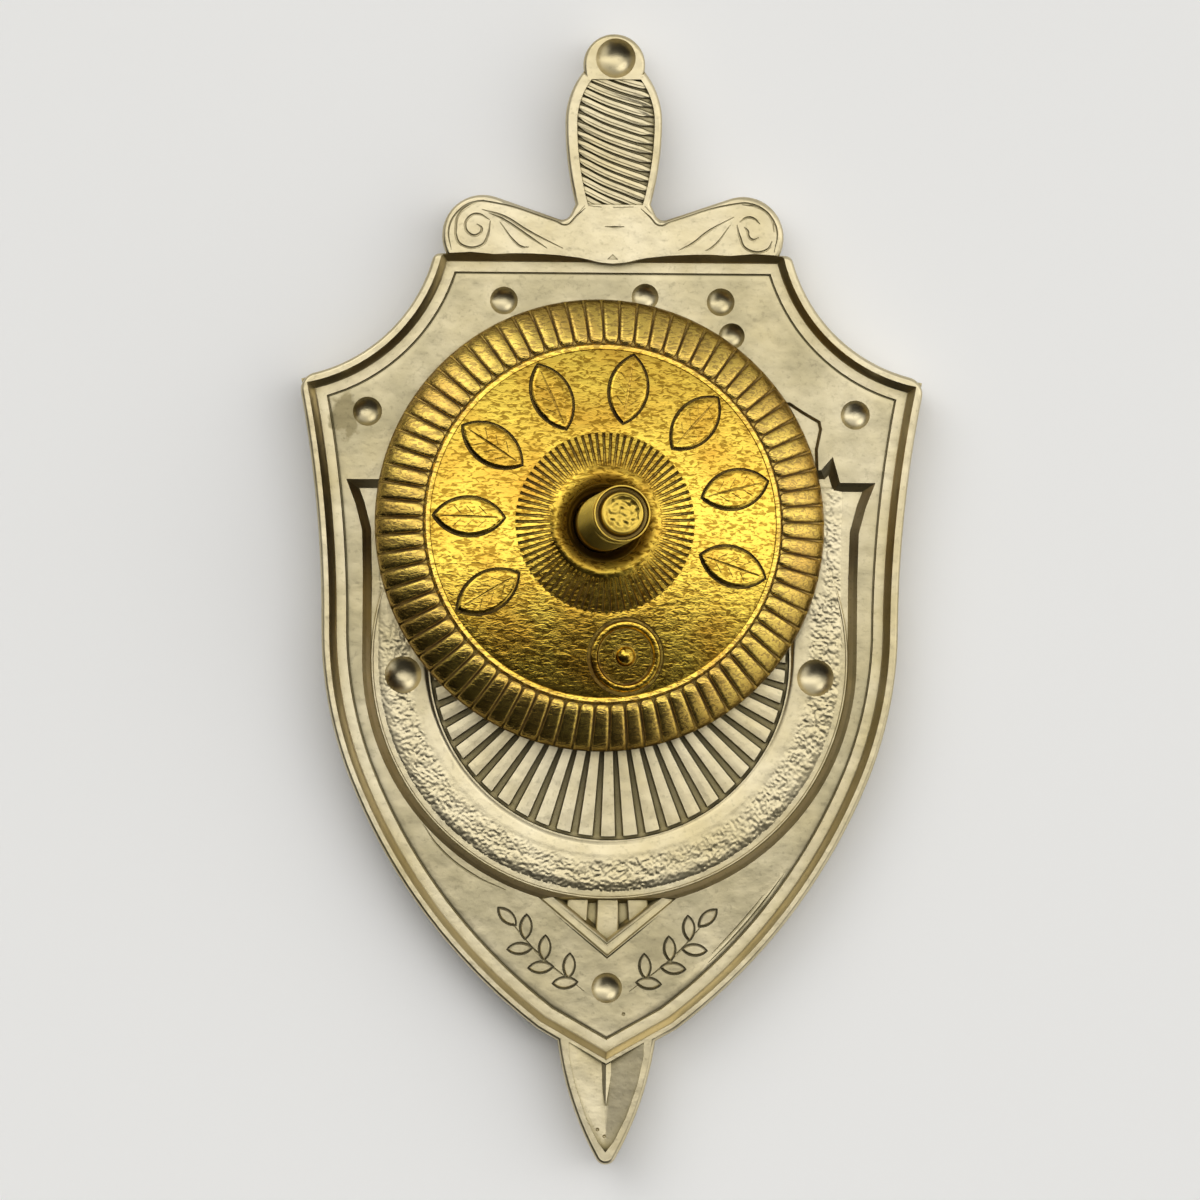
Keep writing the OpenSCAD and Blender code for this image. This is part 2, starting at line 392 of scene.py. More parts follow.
def struck_nickel_silver():
    """Nickel silver struck between dies: pale cream and satin, yellowed in patches, with painted shade and
    some patina darkening its corners to olive.
    """
    material, tree = new_material("struck_nickel_silver")
    place = node(tree, "TexCoord").outputs["Object"]
    near = node(tree, "AmbientOcclusion", {"Distance": 0.25 * MM}, samples=8, only_local=True).outputs["AO"]
    wide = node(tree, "AmbientOcclusion", {"Distance": 0.5 * MM}, samples=8, only_local=True).outputs["AO"]
    # painted shade, with some patina: occlusion darkens the creases to dark brown and the corners to olive
    crease = node(tree, "ValToRGB", {"Fac": near}, stops=[(0.27, 1.0), (0.74, 0.0)]).outputs["Color"]
    corner = node(tree, "ValToRGB", {"Fac": wide}, stops=[(0.33, 0.9), (0.92, 0.0)]).outputs["Color"]
    # yellowing comes in patches about 4 mm across
    patches = node(
        tree, "TexNoise", {"Vector": place, "Scale": per_mm(4), "Detail": 5.0, "Roughness": 0.6}
    ).outputs["Fac"]
    yellowed = node(
        tree, "ValToRGB", {"Fac": patches}, stops=[(0.35, srgb("#cdc1a0")), (0.68, srgb("#bbad85"))],
    ).outputs["Color"]
    # the sunk field is duller than the polished lip and guard, most of all in patches
    level = node(tree, "SeparateXYZ", {"Vector": place}).outputs["Z"]
    height = node(
        tree, "MapRange", {"Value": level, "From Min": 1.0 * MM, "From Max": 2.0 * MM}
    ).outputs["Result"]
    sunk = node(
        tree, "ValToRGB", {"Fac": height}, stops=[(0.30, 0.0), (0.36, 0.72), (0.54, 0.72), (0.58, 0.0)]
    ).outputs["Color"]
    spread = node(tree, "TexNoise", {"Vector": place, "Scale": per_mm(2.2), "Detail": 4.0}).outputs["Fac"]
    blotch = node(tree, "ValToRGB", {"Fac": spread}, stops=[(0.35, 0.25), (0.60, 1.0)]).outputs["Color"]
    share = node(tree, "Math", {0: sunk, 1: blotch}, operation="MULTIPLY").outputs[0]
    toned = node(
        tree, "Mix", {"Factor": share, 6: yellowed, 7: srgb("#9a9070")}, data_type="RGBA"
    ).outputs[2]
    # one brown stain, 1.3 by 2.3 mm, in the corner at the left
    stain_x, stain_y, squeeze = -11.82, 8.05, 1.7
    squeezed = node(
        tree, "Mapping", {"Vector": place, "Scale": (squeeze, 1, 0)}, vector_type="POINT"
    ).outputs[0]
    middle = (squeeze * stain_x * MM, stain_y * MM, 0)
    out = node(tree, "VectorMath", {0: squeezed, 1: middle}, operation="DISTANCE").outputs["Value"]
    ragged = node(tree, "TexNoise", {"Vector": place, "Scale": per_mm(0.7), "Detail": 4.0}).outputs["Fac"]
    reach = node(tree, "Math", {0: ragged, 1: 1.8 * MM, 2: out}, operation="MULTIPLY_ADD").outputs[0]
    stain = node(tree, "MapRange", {
        "Value": reach, "From Min": 1.75 * MM, "From Max": 1.98 * MM, "To Min": 0.75, "To Max": 0.0,
    }).outputs["Result"]
    stained = node(tree, "Mix", {"Factor": stain, 6: toned, 7: srgb("#7a6f4e")}, data_type="RGBA").outputs[2]
    # pinpricks of dust, 0.15 mm in the photo
    dust = node(tree, "TexNoise", {"Vector": place, "Scale": per_mm(0.2), "Detail": 3.0}).outputs["Fac"]
    dusted = node(tree, "ValToRGB", {"Fac": dust}, stops=[(0.28, 0.80), (0.42, 1.0)]).outputs["Color"]
    clean = node(
        tree, "Mix", {"Factor": 1.0, 6: stained, 7: dusted}, data_type="RGBA", blend_type="MULTIPLY"
    ).outputs[2]
    # painted shade, with some patina: olive in the corners, dark brown in the creases
    corner_shaded = node(tree, "Mix", {"Factor": corner, 6: clean, 7: srgb("#8d7f4d")}, data_type="RGBA").outputs[2]
    colour = node(tree, "Mix", {"Factor": crease, 6: corner_shaded, 7: srgb("#443b18")}, data_type="RGBA").outputs[2]
    rough = node(tree, "MapRange", {"Value": corner, "To Min": 0.30, "To Max": 0.55}).outputs["Result"]
    metal = node(tree, "MapRange", {"Value": crease, "To Min": 1.0, "To Max": 0.1}).outputs["Result"]
    # the dies' fine grain, about 0.1 mm, and the soft waves of a worn surface
    grain = node(tree, "TexNoise", {"Vector": place, "Scale": per_mm(0.12), "Detail": 3.0}).outputs["Fac"]
    fine = node(tree, "Bump", {"Height": grain, "Strength": 0.25, "Distance": 0.012 * MM}).outputs[0]
    waves = node(tree, "TexNoise", {"Vector": place, "Scale": per_mm(1.1), "Detail": 2.0}).outputs["Fac"]
    bump = node(
        tree, "Bump", {"Height": waves, "Strength": 0.5, "Distance": 0.05 * MM, "Normal": fine}
    ).outputs[0]
    shader = node(
        tree, "BsdfPrincipled",
        {"Base Color": colour, "Roughness": rough, "Metallic": metal, "Normal": bump},
    )
    node(tree, "OutputMaterial", {"Surface": shader.outputs[0]})
    return material


def stamped_brass():
    """Brass pressed in a grained die: bright yellow, browned in its grooves by painted shade and dirt, with
    pale dust on the pads.
    """
    material, tree = new_material("stamped_brass")
    place = node(tree, "TexCoord").outputs["Object"]
    # painted shade, partly dirt: occlusion browns the grooves and corners
    near = node(tree, "AmbientOcclusion", {"Distance": 0.22 * MM}, samples=8, only_local=True).outputs["AO"]
    shade_and_grime = node(tree, "ValToRGB", {"Fac": near}, stops=[(0.35, 1.0), (0.82, 0.0)]).outputs["Color"]
    patches = node(tree, "TexNoise", {"Vector": place, "Scale": per_mm(2.5), "Detail": 4.0}).outputs["Fac"]
    body = node(
        tree, "ValToRGB", {"Fac": patches}, stops=[(0.38, srgb("#d9ba4a")), (0.70, srgb("#bf9234"))],
    ).outputs["Color"]
    middle = on_post(NUT_SEAT).translation * MM
    outward = node(tree, "VectorMath", {0: place, 1: middle}, operation="DISTANCE").outputs["Value"]
    knurled = node(
        tree, "MapRange", {"Value": outward, "From Min": 7.8 * MM, "From Max": 8.0 * MM}
    ).outputs["Result"]
    shade_and_dirt = node(
        tree, "Mix", {"Factor": knurled, 6: srgb("#3c2a08"), 7: srgb("#63491f")}, data_type="RGBA"
    ).outputs[2]
    # the grain's wrinkles run across the badge, 0.4 mm long and 0.12 mm wide; the valleys between them are
    # browned by painted shade and tarnish
    laid = node(tree, "Mapping", {"Vector": place, "Scale": (0.40, 1, 1)}, vector_type="POINT").outputs[0]
    grain = node(
        tree, "TexNoise", {"Vector": laid, "Scale": per_mm(0.14), "Detail": 2.0, "Distortion": 0.9}
    ).outputs["Fac"]
    valley_shade_and_tarnish = node(tree, "ValToRGB", {"Fac": grain}, stops=[(0.41, 0.80), (0.51, 0.0)]).outputs["Color"]
    shaded_and_tarnished = node(
        tree, "Mix", {"Factor": valley_shade_and_tarnish, 6: body, 7: srgb("#74530f")}, data_type="RGBA"
    ).outputs[2]
    # dust dulls and pales the pads, and their outer ends are browned with painted shade
    pale = node(tree, "Math", {0: knurled, 1: 0.27}, operation="MULTIPLY").outputs[0]
    dusty = node(tree, "Mix", {"Factor": pale, 6: shaded_and_tarnished, 7: srgb("#e0c67c")}, data_type="RGBA").outputs[2]
    outer_end_shade = node(
        tree, "MapRange", {"Value": outward, "From Min": 9.1 * MM, "From Max": 10.0 * MM, "To Max": 0.7}
    ).outputs["Result"]
    outer_end_shaded = node(
        tree, "Mix", {"Factor": outer_end_shade, 6: dusty, 7: srgb("#6b4e1a")}, data_type="RGBA"
    ).outputs[2]
    # painted shade, partly dirt, browns the grooves
    colour = node(tree, "Mix", {"Factor": shade_and_grime, 6: outer_end_shaded, 7: shade_and_dirt}, data_type="RGBA").outputs[2]
    # the collar round the post is worn dull
    collar = node(tree, "MapRange", {
        "Value": outward, "From Min": 3.02 * MM, "From Max": 3.2 * MM, "To Min": 0.50, "To Max": 0.17,
    }).outputs["Result"]
    dull = node(tree, "Math", {0: collar, 1: pale}, operation="MAXIMUM").outputs[0]
    rough = node(tree, "Math", {0: dull, 1: shade_and_grime}, operation="MAXIMUM").outputs[0]
    metal = node(tree, "MapRange", {"Value": shade_and_grime, "To Min": 1.0, "To Max": 0.1}).outputs["Result"]
    crisp = node(tree, "MapRange", {"Value": knurled, "To Min": 0.35, "To Max": 0.75}).outputs["Result"]
    bump = node(tree, "Bump", {"Height": grain, "Strength": crisp, "Distance": 0.03 * MM}).outputs[0]
    shader = node(
        tree, "BsdfPrincipled",
        {"Base Color": colour, "Roughness": rough, "Metallic": metal, "Normal": bump},
    )
    node(tree, "OutputMaterial", {"Surface": shader.outputs[0]})
    return material


def turned_brass():
    """Brass turned on a lathe: smooth and bright, with painted shade and some tarnish browning its corners,
    and a painted shadow in the nut's mouth.
    """
    material, tree = new_material("turned_brass")
    place = node(tree, "TexCoord").outputs["Object"]
    # painted shade, with some tarnish: occlusion browns the corners
    near = node(tree, "AmbientOcclusion", {"Distance": 0.2 * MM}, samples=8, only_local=True).outputs["AO"]
    shade_and_grime = node(tree, "ValToRGB", {"Fac": near}, stops=[(0.30, 1.0), (0.85, 0.0)]).outputs["Color"]
    # painted shadow: the nut's mouth, and the post where it stands in it, are darkened by wide occlusion
    wide = node(tree, "AmbientOcclusion", {"Distance": 1.3 * MM}, samples=8).outputs["AO"]
    mouth_shadow = node(tree, "ValToRGB", {"Fac": wide}, stops=[(0.22, 0.8), (0.66, 0.0)]).outputs["Color"]
    bright = node(
        tree, "Mix", {"Factor": mouth_shadow, 6: srgb("#c9ab4a"), 7: srgb("#59401a")}, data_type="RGBA"
    ).outputs[2]
    colour = node(tree, "Mix", {"Factor": shade_and_grime, 6: bright, 7: srgb("#4a360c")}, data_type="RGBA").outputs[2]
    metal = node(tree, "MapRange", {"Value": shade_and_grime, "To Min": 1.0, "To Max": 0.3}).outputs["Result"]
    # tool marks, 0.1 mm apart
    marks = node(tree, "TexNoise", {"Vector": place, "Scale": per_mm(0.12), "Detail": 3.0}).outputs["Fac"]
    bump = node(tree, "Bump", {"Height": marks, "Strength": 0.4, "Distance": 0.015 * MM}).outputs[0]
    shader = node(
        tree, "BsdfPrincipled",
        {"Base Color": colour, "Roughness": 0.33, "Metallic": metal, "Normal": bump},
    )
    node(tree, "OutputMaterial", {"Surface": shader.outputs[0]})
    return material


def pale_paper():
    """The plain matt floor."""
    material, tree = new_material("pale_paper")
    shader = node(tree, "BsdfPrincipled", {"Base Color": srgb("#f6f5f2"), "Roughness": 0.9})
    node(tree, "OutputMaterial", {"Surface": shader.outputs[0]})
    return material


# The struck sheet

# The sheet's rounded edges: steps (inset, rise) of its back and of its front, and the height they take
EDGE = [(0.03, 0.10), (0.05, 0.06), (0.08, 0.04)]
FRONT_EDGE = [(0.03, -0.07), (0.06, -0.03)]
EDGE_H, FRONT_EDGE_H = 0.20, 0.10


def struck(half):
    """A stretch of the sheet with rounded edges, from its right half outline."""
    return block(half, BORDER_FRONT + FRONT_EDGE_H, BACK - EDGE_H, down=FRONT_EDGE, up=EDGE)


def lower_shield(inset):
    """The shield's right side from its waist to its point, drawn in by inset."""
    return [
        (FLANK, FLANK_R - inset, 0, -22),
        (KEEL, KEEL_R - inset, -22, -52.7),
        (0, POINT_Y + inset / math.cos(POINT_SLOPE)),
    ]


def shield_edge():
    """The shield's right half with its rounded corners."""
    top_r, side_r = 0.35, 0.76
    drop = SCOOP[1] - TOP_Y + top_r
    top = (SCOOP[0] - math.sqrt((SCOOP_R + top_r) ** 2 - drop**2), TOP_Y - top_r)
    corner = crossing(SCOOP, SCOOP_R + side_r, SIDE, SIDE_R + side_r, -1)
    return [
        (0, TOP_Y),
        (top, top_r, 90, heading(top, SCOOP)),
        (SCOOP, SCOOP_R, heading(SCOOP, top), heading(SCOOP, corner)),
        (corner, side_r, heading(corner, SCOOP), heading(corner, SIDE)),
        (SIDE, SIDE_R, heading(SIDE, corner), 180),
    ] + lower_shield(0)


def shield_inside(inset, top):
    """The shield's right half drawn in by inset, with sharp corners and its top edge at a height."""
    scoop_r = SCOOP_R + inset
    start = (SCOOP[0] - math.sqrt(scoop_r**2 - (SCOOP[1] - top) ** 2), top)
    corner = crossing(SCOOP, scoop_r, SIDE, SIDE_R + inset, -1)
    return [
        (0, top),
        (SCOOP, scoop_r, heading(SCOOP, start), heading(SCOOP, corner)),
        (SIDE, SIDE_R + inset, heading(SIDE, corner), 180),
    ] + lower_shield(inset)


def hilt():
    """Pommel, grip and guard."""
    return struck([
        (POMMEL, POMMEL_R, 90, -12),
        (GRIP_TOP, GRIP_TOP_R, 38.7, 0),
        (GRIP, GRIP_R, 0, -15),
        (VALLEY, VALLEY_R, 200, 288.7),
        (SCROLL, SCROLL_R, 108.7, -60),
        (0, 14.3),
    ])


def blade():
    """The blade's end below the shield."""
    return struck([
        (0, BLADE[1]),
        (BLADE, BLADE_R, 0, heading(BLADE, BLADE_TIP)),
        (BLADE_TIP, BLADE_TIP_R, heading(BLADE, BLADE_TIP), -90),
    ])


def front_field():
    """The front's raised field inside a plain border, with one engraved line."""
    inset = 0.12
    steps = [(0.02, -0.10), (0.14, -0.55), (0.08, -0.15), (0.5, 0), (0.05, 0.06), (0.06, -0.06)]
    return halved(block(shield_inside(inset, TOP_Y - inset), BORDER_FRONT + 0.05, FIELD + 0.2, down=steps))


def front_panel():
    """The front's raised panel behind the ring."""
    radius = 11.0
    half = [(0, 5.5), (11.4, 5.5), (11.05, 3.4), (radius, RING_CENTRE[1]), (RING_CENTRE, radius, 0, -90)]
    return halved(block(half, RING_FRONT + 0.15, FIELD_FRONT + 0.3, down=[(0.04, -0.1), (0.08, -0.05)]))


def front_disc():
    """The front's raised disc, with one turned line."""
    return moved(turned([
        (0, 0), (7.0, 0), (7.05, 0.05), (7.12, 0.05), (7.17, 0), (8.15, 0), (8.27, 0.05), (8.3, 0.15),
        (8.3, 0.4), (0, 0.4),
    ], steps=144), *RING_CENTRE)


LIP = [  # the wall and band inside the lip, and a fine line: inset, drop of the top edge, height
    (0.34, 0.00, 2.75), (0.34, 0.00, 2.24), (0.38, 0.03, 2.20), (0.58, 0.25, 1.70), (0.62, 0.29, 1.64),
    (0.67, 0.34, 1.605), (1.08, 0.78, 1.60), (1.10, 0.80, 1.575), (1.12, 0.82, 1.46), (1.16, 0.85, 1.46),
    (1.18, 0.87, 1.505), (1.25, 0.94, 1.52), (1.45, 1.15, 1.50),
]
GUARD_WAVE = [  # how far the guard's lower edge strays from the lip's top, by distance from the middle
    (0, -0.40), (0.6, -0.35), (1.0, -0.24), (1.5, -0.14), (2.5, -0.03), (3.5, 0.02), (4.4, 0.03),
    (5.2, -0.02), (6.3, 0.08),
]


def recess():
    """The sunk field inside the lip. The guard's lower edge waves along its top."""
    levels = []
    for inset, drop, height in LIP:
        top = TOP_Y - drop
        half = [(quarter / 4, top) for quarter in range(26)] + shield_inside(inset, top)[1:]
        levels.append((half, height))
    cutter = lofted(levels[::-1])
    guard_half, top_edge, band = GUARD_WAVE[-1][0], 14.9, 2
    for vert in cutter.verts:
        if abs(vert.co.x) < guard_half and vert.co.y > top_edge:
            wave = between_knots(GUARD_WAVE, abs(vert.co.x))
            if vert.co.z > band:
                vert.co.y += wave
            else:
                vert.co.y = min(vert.co.y, TOP_Y + wave - 0.05)
    return cutter


def panel():
    """The deeper panel round the ring."""
    radius = 10.95
    half = [
        (0, 5.75), (9.3, 5.8), (9.82, 6.4), (10.15, 5.25), (11.72, 5.25), (11.3, 4.15), (11.0, 3.0),
        (radius, 1.0), (RING_CENTRE, radius, 0, -90),
    ]
    return block(half, FIELD, BACK, down=[(0.03, -0.03), (0.30, -0.30), (0.07, -0.07)])


def notches():
    """Shallow steps that show beside the nut."""
    half = [(0, 8.8), (7.9, 8.8), (8.48, 8.42), (9.26, 7.97), (9.34, 7.6), (9.16, 6.7), (9.2, 5.7), (0, 5.7)]
    return block(half, FIELD, BACK, down=[(0.04, -0.05), (0.10, -0.16)])


def pan():
    """The round sunk floor that carries the rays."""
    ledge = RING - 0.04
    return moved(turned([
        (0, GROUND), (7.94, GROUND), (7.97, GROUND + 0.05), (7.98, ledge), (8.2, ledge), (8.2, BACK),
        (0, BACK),
    ], steps=160), *RING_CENTRE)


def vee():
    """The sunk strip round the small window, in the form of a V."""
    half = [(0, -12.95), (2.2, -13.05), (3.05, -13.22), (0, -15.80)]
    return block(half, FIELD - 0.04, BACK, down=[(0.05, -0.09), (0.05, -0.03)])


def window():
    """The small window between the ring and the shield's point."""
    half = [(0, -13.2), (2.42, -13.2), (0, -15.2)]
    steps = [(0.04, -0.03), (0.20, GROUND - RING - 0.02), (0.03, -0.05)]
    return block(half, RING + 0.1, BACK, down=steps)


def ring_line():
    """A fine raised line at the foot of the panel's wall."""
    return moved(turned([
        (10.46, 1.0), (10.46, 1.12), (10.49, 1.15), (10.54, 1.15), (10.57, 1.12), (10.57, 1.0),
    ], steps=160, hollow=True), *RING_CENTRE)


# Height of the ring's face above its level, by distance from its centre
CROWN = [(8.05, -0.025), (8.17, 0.03), (8.6, 0.05), (9.9, 0.05), (10.15, 0.02), (10.44, -0.05)]


def crackle(x, y, out):
    """Height of the crackle at a place measured from the ring's centre, and so far out across the ring."""
    cell_along, cell_across, middle_r = 0.17, 0.23, 9.4
    along = y if y > 0 else math.atan2(y, abs(x)) * middle_r
    spot = Vector((math.copysign(along, x) / cell_along, out / cell_across, 3 if x > 0 else 0))
    spot += 0.6 * noise.noise_vector(spot * 0.9)
    crease = max(0, 1 - abs(noise.noise(spot)) / 0.18)
    fine = noise.noise(spot * 2.3)
    lump = noise.noise(Vector((x, y, 4)) / 0.45)
    worn = min(1, max(0, 0.85 + 1.2 * noise.noise(Vector((x, y, 9)) / 2.2)))
    start, end = 8.75 if y < 3 else 9.35, 10.30  # the ring's edges are smooth
    inside = min(1, max(0, (out - start) / 0.25)) * min(1, max(0, (end - out) / 0.12))
    return inside * (0.01 + worn * (0.012 * lump + 0.01 * fine - 0.028 * crease))


def crackled_ring():
    """The ring's crowned face: a row of points spun round the bottom and run on up both sides."""
    inner, gap, points, ends_at = CROWN[0][0], 0.0522, 47, 5.0
    side = {**ROUND_Z, "angle": 0, "steps": 135}
    reach = (ends_at - RING_CENTRE[1]) / side["steps"]
    bm = wired([(inner + index * gap, ends_at) for index in range(points)])
    row = bmesh.ops.spin(bm, geom=bm.verts[:] + bm.edges[:], dvec=(0, -reach, 0), **side)["geom_last"]
    row = bmesh.ops.spin(
        bm, geom=row, cent=(*RING_CENTRE, 0), axis=(0, 0, 1), angle=-math.pi, steps=520
    )["geom_last"]
    bmesh.ops.spin(bm, geom=row, dvec=(0, reach, 0), **side)
    bmesh.ops.remove_doubles(bm, verts=bm.verts[:], dist=MERGE)
    for vert in bm.verts:
        x, y = vert.co.x, vert.co.y - RING_CENTRE[1]
        out = abs(x) if y > 0 else math.hypot(x, y)
        vert.co.z = RING + between_knots(CROWN, out) + crackle(x, y, out)
    return slab(bm, RING - 0.12)


def rays():
    """Rays that fan out from behind the ring's centre, trimmed to the pan and the window."""
    half, near, far = math.tan(math.radians(2.25)), 1.5, 13.8
    count, middle_y, low, radius = 57, -1.4, 0.55, 7.80
    bm = bar(
        [(0, 0.965), (0.86, 0.96), (0.95, 0.93), (1, 0.87), (1.03, 0.5), (0, 0.5)],
        [(-far, half * far, 0), (-near, half * near, 0)],
    )
    fan = moved(repeated(bm, count), 0, middle_y)
    opening = moved(turned([(0, low), (radius, low), (radius, 1.2), (0, 1.2)], steps=160), *RING_CENTRE)
    opening = work(opening, [block([(0, -13.3), (2.1, -13.3), (0, -15.05)], low, 1.3)], "UNION")
    return work(fan, [opening], "INTERSECT")


def dimple(x, y, radius, level, depth=0.3):
    """A round dimple with a flat middle and steep sides."""
    rings, steepness, rim = 8, 2.6, radius + 0.07
    hollow = [(radius * ring / rings, -depth * (1 - (ring / rings) ** steepness)) for ring in range(rings)]
    return moved(turned(hollow + [(radius, 0.005), (rim, 0.03), (rim, 0.6), (0, 0.6)], steps=48), x, y, level)


GRIP_SHIFT = 0.1  # the bed lies a little to the right of the middle


def grip_bed(grow=0.0):
    """The right half of the grip's sunk bed, which lies inside its rim."""
    rim = 0.42
    return [
        (0, 23.0 + grow),
        (GRIP_TOP, GRIP_TOP_R - rim + grow, 36.7, 0),
        (GRIP, GRIP_R - rim + grow, 0, -15.6),
        (0, 17.45 - grow),
    ]


def strands(offset, radius, height, ends=2.0):
    """Slanting wires across the grip, as one shape. They sag a little and steepen downwards."""
    top, pitch, sag, uneven = 23.10, 0.40, 0.04, 0.035
    lines = []
    for turn in range(-2, 17):
        level = top + offset - pitch * turn
        slope = 0.34 + 0.007 * turn
        lines.append([
            (x, level - slope * x + sag * x * x + uneven * noise.noise(Vector((x, level, 0))))
            for x in (-ends, -0.6 * ends, -0.2 * ends, 0.2 * ends, 0.6 * ends, ends)
        ])
    return wire_of(lines, radius, height)


def windings():
    """The grip's windings, laid slantwise, worn flat on top and each split by a fine line."""
    worn = BACK - 0.08
    bed = moved(block(grip_bed(0.04), 1.8, worn), GRIP_SHIFT)
    laid = work(strands(0, 0.17, BACK - 0.19), [bed], "INTERSECT")
    return work(laid, [strands(-0.04, 0.022, worn, ends=1.5)])


def blade_hollow():
    """The blade's two hollow facets, which meet in a line along its middle."""
    width, depth = 1.66, 0.38
    half = [
        (0, -20.52), (width, -19.57), (1.65, -20.2), (1.4, -21.4), (0.9, -22.9), (0.35, -24.0), (0, -24.45),
    ]
    bm = halved(block(half, BACK - 0.04, BACK + 0.4))
    for vert in bm.verts:
        if vert.co.z < BACK:
            vert.co.z -= depth * (1 - abs(vert.co.x) / width)
    return bm


def blade_rib():
    """The short rib that runs out along the blade's middle."""
    low, high, ridge = 1.6, 1.84, 0.14
    bm = halved(block([(0, -20.6), (0.30, -20.43), (0.22, -21.1), (0, -22.4)], low, high))
    for vert in bm.verts:
        if abs(vert.co.x) < 0.01 and vert.co.z > (low + high) / 2:
            vert.co.z += ridge
    return bm


def engraved_lines():
    """The engraved lines of the guard and the lower field, as shapes that cut them."""
    curls = [
        [
            (-5.7, 17.62), (-6.4, 17.35), (-6.85, 16.9), (-6.95, 16.3), (-6.95, 16.1), (-6.7, 15.64),
            (-5.8, 15.62), (-5.55, 16.0), (-5.42, 16.7),
        ],
        [
            (-5.45, 16.75), (-6.0, 17.0), (-6.37, 16.85), (-6.53, 16.45), (-6.3, 16.1), (-6.0, 16.07),
            (-5.8, 16.35), (-6.03, 16.56),
        ],
        [(5.7, 17.5), (6.5, 17.35), (7.0, 16.9), (7.12, 16.3)],
        [(5.48, 16.6), (5.6, 16.1), (5.9, 15.55), (6.8, 15.5), (7.05, 15.9)],
        [(5.6, 16.72), (5.9, 16.92), (6.2, 16.9), (6.5, 16.65)],
        [(5.8, 16.5), (5.95, 16.35), (6.0, 16.1), (6.2, 15.95), (6.45, 16.05)],
    ]
    veins = [
        [(-5.8, 17.2), (-4.8, 16.9), (-3.8, 16.3), (-2.2, 15.5)],
        [(-5.5, 17.05), (-4.9, 16.8), (-3.6, 15.95), (-2.9, 15.5)],
        [(-5.0, 16.65), (-4.3, 15.75), (-4.0, 15.55), (-3.7, 15.55)],
        [(5.35, 16.95), (4.2, 16.3), (3.5, 15.75), (2.9, 15.45)],
        [(5.2, 16.6), (4.4, 15.6), (4.1, 15.45)],
        [(-0.35, 16.49), (0.1, 16.46), (0.5, 16.48)],
    ]
    edges = []
    for side in (-1, 1):
        line = [(1.22, 17.3), (1.62, 16.93), (2.04, 16.55), (2.6, 16.72)]
        line += [on_arc(SCROLL, SCROLL_R - 0.27, angle) for angle in (108, 75, 42, 10, -25)]
        edges.append([(side * x, y) for x, y in line])
    feet = [
        [(-1.25, 17.4), (-1.9, 16.65)], [(1.4, 17.4), (2.1, 16.65)],
        [(-1.1, 17.4), (-0.5, 17.34)], [(0.0, 17.32), (0.9, 17.36)],
    ]
    keel_lines = [
        [on_arc(KEEL, KEEL_R - 1.32, angle) for angle in (-34, -38, -42, -46)],
        [on_arc(KEEL, KEEL_R - 1.50, angle) for angle in (-37, -40, -43, -45)],
        [(-8.2, -10.0), (-7.5, -11.0), (-6.0, -12.2), (-4.5, -12.9)],
    ]
    return [
        wire_of(curls, 0.06, BACK), wire_of(veins, 0.055, BACK), wire_of(edges, 0.045, BACK - 0.01),
        wire_of(feet, 0.05, BACK), wire_of(keel_lines, 0.05, FIELD),
        wire_of([[(-3.1, -13.3), (0, -15.87), (3.1, -13.3)]], 0.06, FIELD - 0.03, bent=False),
        wire_of([[(-2.5, -13.3), (0, -15.28), (2.5, -13.3)]], 0.06, FIELD - 0.14, bent=False),
        block([(0, 15.27), (0.25, 15.03), (0, 15.03)], BACK - 0.05, BACK + 0.3),
    ]


def lens(length, width):
    """A pointed oval along X, as strokes."""
    bulge = (length**2 / 4 + width**2 / 4) / width
    reach = math.degrees(math.asin(length / 2 / bulge))
    low = (0, bulge - width / 2)
    high = (0, -bulge + width / 2)
    return [(low, bulge, -90 - reach, -90 + reach), (high, bulge, 90 - reach, 90 + reach)]


def sprigs():
    """Two leaf sprigs in the lower field: wells to cut, and the leaves that stand in them."""
    wells, leaves = [], []
    for side in (-1, 1):
        for share, out, turn in (
            (0.0, 0.50, -48), (0.10, 0.50, 50), (0.30, 0.52, -48), (0.42, 0.52, 50), (0.60, 0.54, -48),
            (0.72, 0.54, 50), (0.92, 0.45, 0),
        ):
            x, y = 1.35 + 2.95 * share, -16.95 + 2.85 * share
            x, y = x + 0.22 * math.sin(share * math.pi), y - 0.22 * math.sin(share * math.pi)
            lean = 44 + turn
            x, y = on_arc((x, y), out, lean)
            for parts, strokes, low, high, up in (
                (wells, lens(1.22, 0.62), FIELD - 0.13, BACK, ()),
                (leaves, lens(1.02, 0.44), FIELD - 0.3, FIELD - 0.03, [(0.05, 0.04)]),
            ):
                bm = moved(block(strokes, low, high, mirrored=False, up=up), x, y, 0, lean)
                if side < 0:
                    bmesh.ops.scale(bm, verts=bm.verts[:], vec=(-1, 1, 1))
                    faced_out(bm)
                parts.append(bm)
        stem = [(side * x, y) for x, y in ((1.0, -17.35), (3.0, -15.75), (4.6, -13.9))]
        wells.append(wire_of([stem], 0.055, FIELD - 0.01))
    return wells, leaves


def dimples():
    """The round dimples of the pommel, the field and the ring, and three pinholes in the blade."""
    shapes = [
        dimple(0.07, 23.93, 0.88, BACK, 0.42), dimple(0, -17.2, 0.68, FIELD),
        dimple(1.45, 13.4, 0.60, FIELD), dimple(5.3, 11.7, 0.58, FIELD),
    ]
    for side in (-1, 1):
        shapes += [
            dimple(side * 4.8, 13.2, 0.62, FIELD), dimple(side * 10.8, 8.25, 0.65, FIELD),
            dimple(side * 9.13, -3.4, 0.85, RING + 0.08, 0.38),
        ]
    for x, y, z in ((-0.35, -23.45, 1.94), (-0.05, -23.75, 1.88), (0.75, -18.35, 1.53)):
        shapes.append(moved(turned([((0, 0), 0.09, -90, 90)], steps=16), x, y, z))
    return shapes


